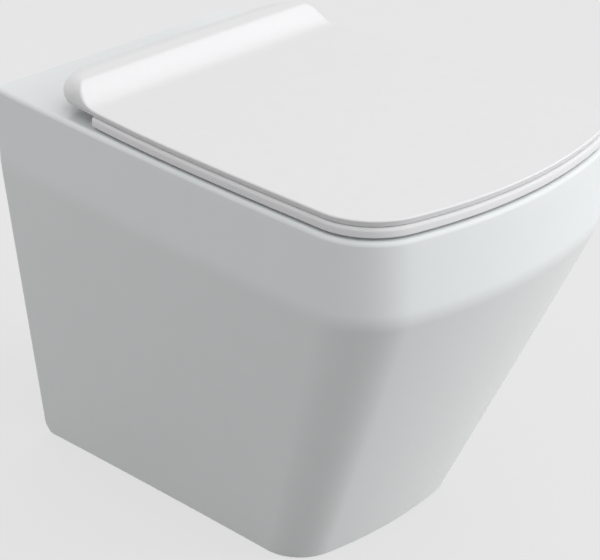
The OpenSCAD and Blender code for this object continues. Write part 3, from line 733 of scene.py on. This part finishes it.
def hump_outline(t, wall, z):
    """The hump's outline at a height, where its front has risen by a share of its run.

    A wall of 0 gives the outside, and a thicker one the hollow inside it.
    """
    draw = fall_in(z)
    front = -HUMP_FRONT + HUMP_RUN * t + wall
    rear = -lid_back - HUMP_FALL * draw - wall
    lean = HUMP_SIDE_LEAN * draw + wall
    round_y = min(HUMP_CORNER_R - wall, HUMP_ROUND_SHARE * (rear - front))
    round_x = HUMP_CORNER_R - wall - HUMP_SIDE_LEAN * draw
    corner_y = rear - round_y

    def side(y):
        ease = max(0.0, 1 - (y + HUMP_FRONT) / HUMP_EASE) ** 2
        plain = side_at(seat_half, SEAT_DRAW_IN, SEAT_SIDE_POWER, seat_corner_y, y)
        return plain - lean - LID_EDGE_R * ease

    edge = min(HUMP_EDGE_R, HUMP_EDGE_SHARE * (corner_y - front)) if wall == 0 else HOLLOW_EDGE_R
    half = []
    for i in range(HUMP_EDGE_STEPS + 1):
        a = math.pi / 2 * i / HUMP_EDGE_STEPS
        x = side(front + edge) - edge * (1 - math.sin(a))
        half.append((x, front + edge * (1 - math.cos(a))))
    for i in range(1, HUMP_SIDE_STEPS + 1):
        y = lerp(front + edge, corner_y, i / HUMP_SIDE_STEPS)
        half.append((side(y), y))
    for i in range(1, HUMP_CORNER_STEPS + 1):
        a = math.pi / 2 * i / HUMP_CORNER_STEPS
        x = side(corner_y) - round_x * (1 - math.cos(a))
        half.append((x, corner_y + round_y * math.sin(a)))
    return at_height(half + [(-x, y) for x, y in reversed(half)], z)


def lid_plate():
    levels = []
    for i in range(LID_SIDE_STEPS + 1):
        t = i / LID_SIDE_STEPS
        levels.append((LID_UNDERCUT * (1 - t), lid_z + (LID_T - LID_EDGE_R) * t))
    for inset, drop in rounded(EDGE_STEPS)[1:]:
        levels.append((LID_EDGE_R * inset, lid_top - LID_EDGE_R * drop))
    sections = []
    for inset, z in levels:
        outline = seat_outline(inset, lid_back, HUMP_CORNER_R, HUMP_CORNER_R)
        sections.append(at_height(outline, z))
    return loft("lid_body", sections)


def hump_levels(first, steps):
    """Shares of the hump's run with their heights, from a first share to the crest."""
    shares = [lerp(first, 1, i / steps) for i in range(steps + 1)]
    return [(t, lid_top + hump_rise * rise_at(t)) for t in shares]


def hump():
    """The hump starts where the plate is widest, so that its ends rise straight from there."""
    start = hump_outline(HUMP_FIRST_SHARE, 0, lid_top)
    sections = [[(x, y, lid_top - LID_EDGE_R) for x, y, _ in start]]
    sections += [hump_outline(t, 0, z) for t, z in hump_levels(HUMP_FIRST_SHARE, HUMP_STEPS)]
    return loft("hump", sections)


def hump_hollow():
    start = hump_outline(HOLLOW_FIRST_SHARE, SHELL, lid_top)
    sections = [[(x, y, lid_z - PAST) for x, y, _ in start]]
    for t, z in hump_levels(HOLLOW_FIRST_SHARE, HOLLOW_STEPS):
        sections.append([(x, y, z - SHELL) for x, y, _ in hump_outline(t, SHELL, z)])
    return loft("hump_hollow", sections)


def lid_web():
    """A web that ties a lid knuckle to the hump's shell."""
    inside = crest_z - SHELL / 2 - axis_z
    outline = in_knuckles([WEB_UNDERSIDE])
    outline += [
        (-HUMP_FALL, inside - WEB_TIP),
        (-HUMP_FALL, inside),
        (-HUMP_FALL + WEB_TIP_RUN, inside),
    ]
    outline += in_knuckles([WEB_TOPSIDE])
    placed = by_the_axis(outline[::-1])
    return slab_x("lid_web", lid_knuckle_x, lid_knuckle_x + LID_KNUCKLE, placed)


def make_lid():
    body = shaped(lid_plate(), [hump()], [hump_hollow()])
    notch = block(
        "notch",
        (ring_knuckle_x - KNUCKLE_GAP, axis_y - NOTCH_REACH, lid_z - PAST),
        (lid_knuckle_x, 0, crest_z + PAST),
    )
    joined = on_both_sides(lid_web())
    joined += on_both_sides(knuckle("lid_knuckle", lid_knuckle_x, LID_KNUCKLE, KNUCKLE_R))
    bore = knuckle("lid_bore", lid_knuckle_x - PAST, LID_KNUCKLE + 2 * PAST, KNUCKLE_BORE_R)
    return smooth(shaped(body, joined, on_both_sides(notch) + on_both_sides(bore)))


# ---------------------------------------------------------------- materials


NOISE_DETAIL = 3.0
MOTTLE = 0.97
COAT_ROUGHNESS = 0.05
RELIEF_DEPTH = 0.5

# Sockets of a Mix node that is set to colours
MIX_SHARE, MIX_FIRST, MIX_SECOND, MIX_RESULT = 0, 6, 7, 2


def set_input(node, socket, value):
    node.inputs[socket].default_value = value


def material(name, colour, roughness, grain, metallic=0.0, coat=0.0, relief=0.0, spread=0.03):
    """A finish whose roughness and fine relief vary over the object's own coordinates."""
    made = bpy.data.materials.new(name)
    made.use_nodes = True
    tree = made.node_tree
    shader = tree.nodes["Principled BSDF"]
    where = tree.nodes.new("ShaderNodeTexCoord")
    noise = tree.nodes.new("ShaderNodeTexNoise")
    set_input(noise, "Scale", grain)
    set_input(noise, "Detail", NOISE_DETAIL)
    tree.links.new(where.outputs["Object"], noise.inputs["Vector"])
    vary = tree.nodes.new("ShaderNodeMapRange")
    set_input(vary, "To Min", max(0.0, roughness - spread))
    set_input(vary, "To Max", roughness + spread)
    tree.links.new(noise.outputs["Fac"], vary.inputs["Value"])
    tree.links.new(vary.outputs["Result"], shader.inputs["Roughness"])
    tint = tree.nodes.new("ShaderNodeMix")
    tint.data_type = "RGBA"
    set_input(tint, MIX_FIRST, (*colour, 1))
    set_input(tint, MIX_SECOND, (*[c * MOTTLE for c in colour], 1))
    tree.links.new(noise.outputs["Fac"], tint.inputs[MIX_SHARE])
    tree.links.new(tint.outputs[MIX_RESULT], shader.inputs["Base Color"])
    set_input(shader, "Metallic", metallic)
    set_input(shader, "Coat Weight", coat)
    set_input(shader, "Coat Roughness", COAT_ROUGHNESS)
    if relief:
        bump = tree.nodes.new("ShaderNodeBump")
        set_input(bump, "Strength", relief)
        set_input(bump, "Distance", RELIEF_DEPTH * MM)
        tree.links.new(noise.outputs["Fac"], bump.inputs["Height"])
        tree.links.new(bump.outputs["Normal"], shader.inputs["Normal"])
    return made


# Colours of the finishes
GLAZE = (0.785, 0.81, 0.814)
SEAT_WHITE = (0.77, 0.77, 0.78)
PALE_RUBBER = (0.7, 0.7, 0.7)
CHROME = (0.75, 0.76, 0.78)
STEEL = (0.6, 0.61, 0.63)
ZINC = (0.58, 0.6, 0.62)
BLACK_RUBBER = (0.04, 0.04, 0.04)
DARK_PLASTIC = (0.12, 0.12, 0.13)
NATURAL_PLASTIC = (0.72, 0.7, 0.63)
BRASS = (0.7, 0.53, 0.25)
PIPE_WHITE = (0.78, 0.78, 0.77)

# The finish of each slot: its name, colour and roughness, and how fine its grain is
finishes = {
    "glazed_ceramic": material("glaze", GLAZE, 0.22, 25, coat=0.2, relief=0.03),
    "seat_plastic": material("seat gloss", SEAT_WHITE, 0.3, 90, coat=0.08),
    "buffer_rubber": material("pale rubber", PALE_RUBBER, 0.6, 200, relief=0.1),
    "hinge_chrome": material("hinge chrome", CHROME, 0.08, 40, metallic=1.0),
    "steel": material("satin steel", STEEL, 0.32, 300, metallic=1.0, relief=0.05),
    "zinc_steel": material("zinc plate", ZINC, 0.4, 120, metallic=1.0, relief=0.08, spread=0.08),
    "black_rubber": material("black rubber", BLACK_RUBBER, 0.6, 250, relief=0.15),
    "damper_plastic": material("dark plastic", DARK_PLASTIC, 0.45, 200),
    "bush_plastic": material("natural plastic", NATURAL_PLASTIC, 0.45, 200),
    "brass": material("turned brass", BRASS, 0.3, 260, metallic=1.0, relief=0.05),
    "pipe_plastic": material("pipe plastic", PIPE_WHITE, 0.35, 80),
}
slot_of = {part["node"]: part["material_slot"] for part in frame["record"]["subparts"]}


def dress(made, slot_name):
    """Gives an object the finish of one of the record's slots."""
    made.data.materials.clear()
    made.data.materials.append(finishes[slot_name])


def place(made, body, slot_name, *replaced):
    """Puts a finished piece on its body, with its finish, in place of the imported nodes."""
    dress(made, slot_name)
    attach(made, body)
    if replaced:
        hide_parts(*replaced)


# ---------------------------------------------------------------- repeated details


def new_tree(name, inputs):
    """A tree of geometry nodes with named inputs and one geometry output."""
    tree = bpy.data.node_groups.new(name, "GeometryNodeTree")
    tree.interface.new_socket("Geometry", in_out="OUTPUT", socket_type="NodeSocketGeometry")
    for label, kind in inputs:
        tree.interface.new_socket(label, in_out="INPUT", socket_type=kind)
    return tree, tree.nodes.new("NodeGroupInput").outputs


def join(tree, source, node, name):
    tree.links.new(source, node.inputs[name])


def repeated(tree, inputs, item, finish):
    """Sets an item in a row, the row in copies, then gives them all their finish."""
    for count, step, start in (("Count", "Step", "Start"), ("Copies", "Copy Step", "Copy Start")):
        row = tree.nodes.new("GeometryNodeMeshLine")
        join(tree, inputs[count], row, "Count")
        join(tree, inputs[step], row, "Offset")
        join(tree, inputs[start], row, "Start Location")
        placed = tree.nodes.new("GeometryNodeInstanceOnPoints")
        join(tree, row.outputs[0], placed, "Points")
        join(tree, item, placed, "Instance")
        item = placed.outputs[0]
    whole = tree.nodes.new("GeometryNodeRealizeInstances")
    join(tree, item, whole, "Geometry")
    dressed = tree.nodes.new("GeometryNodeSetMaterial")
    join(tree, whole.outputs[0], dressed, "Geometry")
    set_input(dressed, "Material", finish)
    join(tree, dressed.outputs[0], tree.nodes.new("NodeGroupOutput"), "Geometry")
    return tree


# Inputs that every tree of a repeated detail shares
ROW_INPUTS = [
    ("Count", "NodeSocketInt"),
    ("Step", "NodeSocketVector"),
    ("Start", "NodeSocketVector"),
    ("Copies", "NodeSocketInt"),
    ("Copy Step", "NodeSocketVector"),
    ("Copy Start", "NodeSocketVector"),
]


def swept(tree, path, radius):
    """A round wire along a path."""
    profile = tree.nodes.new("GeometryNodeCurvePrimitiveCircle")
    set_input(profile, "Resolution", WIRE_SIDES)
    join(tree, radius, profile, "Radius")
    wire = tree.nodes.new("GeometryNodeCurveToMesh")
    join(tree, path, wire, "Curve")
    join(tree, profile.outputs[0], wire, "Profile Curve")
    set_input(wire, "Fill Caps", True)
    return wire.outputs[0]


def hoops_tree(name, slot_name):
    """Round ribs about an axis, in a row along it."""
    sizes = [
        ("Radius", "NodeSocketFloat"),
        ("Rib", "NodeSocketFloat"),
        ("Turn", "NodeSocketVector"),
    ]
    tree, inputs = new_tree(name, sizes + ROW_INPUTS)
    hoop = tree.nodes.new("GeometryNodeCurvePrimitiveCircle")
    set_input(hoop, "Resolution", ROUND_STEPS)
    join(tree, inputs["Radius"], hoop, "Radius")
    turned = tree.nodes.new("GeometryNodeTransform")
    join(tree, swept(tree, hoop.outputs[0], inputs["Rib"]), turned, "Geometry")
    join(tree, inputs["Turn"], turned, "Rotation")
    return repeated(tree, inputs, turned.outputs[0], finishes[slot_name])


def thread_tree(name, slot_name):
    """A screw thread: a fine wire along a helix."""
    sizes = [
        ("Radius", "NodeSocketFloat"),
        ("Rib", "NodeSocketFloat"),
        ("Turns", "NodeSocketFloat"),
        ("Length", "NodeSocketFloat"),
    ]
    tree, inputs = new_tree(name, sizes + ROW_INPUTS)
    helix = tree.nodes.new("GeometryNodeCurveSpiral")
    set_input(helix, "Resolution", THREAD_STEPS)
    join(tree, inputs["Turns"], helix, "Rotations")
    join(tree, inputs["Radius"], helix, "Start Radius")
    join(tree, inputs["Radius"], helix, "End Radius")
    join(tree, inputs["Length"], helix, "Height")
    wire = swept(tree, helix.outputs[0], inputs["Rib"])
    return repeated(tree, inputs, wire, finishes[slot_name])


def flutes_tree(name, slot_name):
    """Straight ribs all round an axis, each lying along it."""
    sizes = [
        ("Radius", "NodeSocketFloat"),
        ("Ribs", "NodeSocketInt"),
        ("Size", "NodeSocketVector"),
        ("Turn", "NodeSocketVector"),
    ]
    tree, inputs = new_tree(name, sizes + ROW_INPUTS)
    hoop = tree.nodes.new("GeometryNodeCurvePrimitiveCircle")
    join(tree, inputs["Radius"], hoop, "Radius")
    places = tree.nodes.new("GeometryNodeCurveToPoints")
    join(tree, hoop.outputs[0], places, "Curve")
    join(tree, inputs["Ribs"], places, "Count")
    rib = tree.nodes.new("GeometryNodeMeshCube")
    join(tree, inputs["Size"], rib, "Size")
    ring = tree.nodes.new("GeometryNodeInstanceOnPoints")
    join(tree, places.outputs["Points"], ring, "Points")
    join(tree, rib.outputs[0], ring, "Instance")
    join(tree, places.outputs["Rotation"], ring, "Rotation")
    turned = tree.nodes.new("GeometryNodeTransform")
    join(tree, ring.outputs[0], turned, "Geometry")
    join(tree, inputs["Turn"], turned, "Rotation")
    return repeated(tree, inputs, turned.outputs[0], finishes[slot_name])


def scaled(value):
    return [v * MM for v in value] if isinstance(value, tuple) else value * MM


def grown(name, tree, **values):
    """The plain mesh that a tree makes from the sizes given, which are in millimetres."""
    made = mesh_object(name, [], [])
    step = made.modifiers.new(name, "NODES")
    step.node_group = tree
    for item in tree.interface.items_tree:
        if item.in_out == "INPUT":
            value = values[item.name.replace(" ", "_").lower()]
            kept = item.socket_type == "NodeSocketInt" or item.name in ("Turn", "Turns")
            step[item.identifier] = value if kept else scaled(value)
    return settle(made)


# Where the copies of a detail go: on both hinge bolts, or once on the axis of a pipe
on_both_bolts = {
    "copies": 2,
    "copy_step": (2 * hinge_x, 0, 0),
    "copy_start": (-hinge_x, bolt_y, 0),
}
ALONG_Y = (math.pi / 2, 0, 0)

# A row of one makes no use of its step
ANY_STEP = (1, 0, 0)


def on_pipe(axis_height):
    return {"copies": 1, "copy_step": ANY_STEP, "copy_start": (0, 0, axis_height)}


def dowel_rings():
    """Grip rings round the rubber dowels, below the deck."""
    return grown(
        "dowel_rings",
        hoops_tree("dowel rings", "black_rubber"),
        radius=dowel_r,
        rib=GRIP_RING_R,
        turn=(0, 0, 0),
        count=GRIP_RINGS,
        step=(0, 0, GRIP_RING_STEP),
        start=(0, 0, dowel_low.z + GRIP_RING_START),
        **on_both_bolts,
    )


def seat_bolt_threads():
    """The thread on the free end of each seat bolt."""
    return grown(
        "seat_bolt_threads",
        thread_tree("seat bolt thread", "steel"),
        radius=BOLT_R,
        rib=THREAD_R,
        turns=THREAD_TURNS,
        length=THREAD_LENGTH,
        count=1,
        step=ANY_STEP,
        start=(0, 0, bolt_low.z + THREAD_START),
        **on_both_bolts,
    )


def connector_ridges():
    """Ridges round the socket of the outlet connector."""
    return grown(
        "connector_ridges",
        hoops_tree("connector ridges", "pipe_plastic"),
        radius=connector_r,
        rib=RIDGE_R,
        turn=ALONG_Y,
        count=RIDGES,
        step=(0, -RIDGE_STEP, 0),
        start=(0, connector_low.y + RIDGE_START, 0),
        **on_pipe(outlet_z),
    )


def seal_flutes():
    """Flutes round the collar of the flush inlet's seal."""
    return grown(
        "seal_flutes",
        flutes_tree("inlet seal flutes", "black_rubber"),
        radius=collar_r,
        ribs=FLUTES,
        size=(FLUTE_T, FLUTE_T, COLLAR_T),
        turn=ALONG_Y,
        count=1,
        step=ANY_STEP,
        start=(0, seal_high.y - COLLAR_T / 2, 0),
        **on_pipe(inlet_z),
    )


for node_name, packed in nodes.items():
    dress(packed, slot_of[node_name])

place(make_pan(), "root", "glazed_ceramic", "pan")
place(make_ring(), "ring", "seat_plastic", "seat_ring")
place(make_lid(), "lid", "seat_plastic", "seat_lid")
place(dowel_rings(), "root", "black_rubber")
place(seat_bolt_threads(), "root", "steel")
place(connector_ridges(), "root", "pipe_plastic")
place(seal_flutes(), "root", "black_rubber")


# ---------------------------------------------------------------- floor, light and camera

# The floor's own grey, the grey in which it takes the shadow and how much of that is seen
FLOOR_SIZE = 30000.0
FLOOR_GREY = 0.15
FLOOR_SEEN_GREY = 0.8
FLOOR_SHADE = 0.2
SHADE_FADES_FROM = 900.0
SHADE_FADES_TO = 1900.0

# What the camera sees of the backdrop, and the light that it gives
BACKDROP_GREY = 0.791
AMBIENT = 0.87

# Soft round lamps: name, place and width in metres, power in watts, seen in reflections or not
LAMPS = [
    ("key lamp", (1.4, -2.6, 3.0), 2.8, 5, True),
    ("top lamp", (-0.6, 0.4, 3.2), 3.4, 5, True),
    ("right front lamp", (2.5, -3.3, 1.2), 2.3, 80, False),
    ("left front lamp", (0.2, -3.6, 1.2), 2.3, 8, False),
]
LAMP_TARGET = Vector((0, -0.3, 0.3))

# The camera that was fitted to the photo's edges: place in metres, and the way it looks back
CAMERA_PLACE = Vector((-1.5138, -1.7623, 1.3184))
CAMERA_BACK = Vector((-0.63508, -0.62694, 0.45124))
CAMERA_LENS = 133.35
CAMERA_SENSOR = 36.0
CAMERA_SHIFT = 0.0157
CAMERA_REACH = 60.0


def grey(level):
    return (level, level, level, 1)


def seen_by_eye(tree):
    """1 for what the camera sees, straight, in a reflection or through glass; else 0."""
    path = tree.nodes.new("ShaderNodeLightPath")
    mirrored_too = tree.nodes.new("ShaderNodeMath")
    mirrored_too.operation = "MAXIMUM"
    tree.links.new(path.outputs["Is Camera Ray"], mirrored_too.inputs[0])
    tree.links.new(path.outputs["Is Glossy Ray"], mirrored_too.inputs[1])
    through_too = tree.nodes.new("ShaderNodeMath")
    through_too.operation = "MAXIMUM"
    tree.links.new(mirrored_too.outputs[0], through_too.inputs[0])
    tree.links.new(path.outputs["Is Transmission Ray"], through_too.inputs[1])
    return through_too.outputs[0]


def make_floor():
    """A floor that takes the shadow near the toilet and runs into the backdrop further out."""
    half = FLOOR_SIZE / 2
    floor = mesh_object(
        "floor",
        [(-half, -half, 0), (half, -half, 0), (half, half, 0), (-half, half, 0)],
        [(0, 1, 2, 3)],
    )
    finish = bpy.data.materials.new("floor")
    finish.use_nodes = True
    tree = finish.node_tree
    tree.nodes.clear()
    out = tree.nodes.new("ShaderNodeOutputMaterial")
    matt = tree.nodes.new("ShaderNodeBsdfDiffuse")
    set_input(matt, "Color", grey(FLOOR_GREY))
    pale = tree.nodes.new("ShaderNodeBsdfDiffuse")
    set_input(pale, "Color", grey(FLOOR_SEEN_GREY))
    even = tree.nodes.new("ShaderNodeEmission")
    set_input(even, "Color", grey(BACKDROP_GREY))
    where = tree.nodes.new("ShaderNodeTexCoord")
    away = tree.nodes.new("ShaderNodeVectorMath")
    away.operation = "DISTANCE"
    set_input(away, 1, (0, -pan_depth / 2 * MM, 0))
    tree.links.new(where.outputs["Object"], away.inputs[0])
    fade = tree.nodes.new("ShaderNodeMapRange")
    fade.interpolation_type = "SMOOTHSTEP"
    set_input(fade, "From Min", SHADE_FADES_FROM * MM)
    set_input(fade, "From Max", SHADE_FADES_TO * MM)
    set_input(fade, "To Min", FLOOR_SHADE)
    set_input(fade, "To Max", 0.0)
    tree.links.new(away.outputs["Value"], fade.inputs["Value"])
    shaded = tree.nodes.new("ShaderNodeMixShader")
    tree.links.new(fade.outputs["Result"], shaded.inputs["Fac"])
    tree.links.new(even.outputs[0], shaded.inputs[1])
    tree.links.new(pale.outputs[0], shaded.inputs[2])
    seen = tree.nodes.new("ShaderNodeMixShader")
    tree.links.new(seen_by_eye(tree), seen.inputs["Fac"])
    tree.links.new(matt.outputs[0], seen.inputs[1])
    tree.links.new(shaded.outputs[0], seen.inputs[2])
    tree.links.new(seen.outputs[0], out.inputs["Surface"])
    floor.data.materials.append(finish)


def make_world():
    """An even backdrop for the camera and reflections, and the room's soft light for the rest."""
    world = bpy.data.worlds.new("studio")
    world.use_nodes = True
    tree = world.node_tree
    back = tree.nodes["Background"]
    level = tree.nodes.new("ShaderNodeMapRange")
    set_input(level, "To Min", AMBIENT)
    set_input(level, "To Max", BACKDROP_GREY)
    tree.links.new(seen_by_eye(tree), level.inputs["Value"])
    set_input(back, "Color", grey(1))
    tree.links.new(level.outputs["Result"], back.inputs["Strength"])
    bpy.context.scene.world = world


def make_lamp(name, position, size, power, reflected):
    """A soft round lamp that faces the middle of the toilet."""
    light = bpy.data.lights.new(name, "AREA")
    light.shape = "DISK"
    light.size = size
    light.energy = power
    made = bpy.data.objects.new(name, light)
    bpy.context.scene.collection.objects.link(made)
    made.visible_glossy = reflected
    made.location = position
    made.rotation_euler = (Vector(position) - LAMP_TARGET).to_track_quat("Z", "Y").to_euler()


def make_camera():
    data = bpy.data.cameras.new("camera")
    data.sensor_width = CAMERA_SENSOR
    data.lens = CAMERA_LENS
    data.shift_x = CAMERA_SHIFT
    data.clip_end = CAMERA_REACH
    made = bpy.data.objects.new("camera", data)
    bpy.context.scene.collection.objects.link(made)
    back = CAMERA_BACK.normalized()
    right = Vector((-back.y, back.x, 0)).normalized()
    up = back.cross(right)
    turned = Matrix((right, up, back)).transposed().to_4x4()
    turned.translation = CAMERA_PLACE
    made.matrix_world = turned
    bpy.context.scene.camera = made


make_floor()
make_world()
for name, position, size, power, reflected in LAMPS:
    make_lamp(name, position, size, power, reflected)
make_camera()
bpy.context.scene.view_settings.view_transform = "Standard"
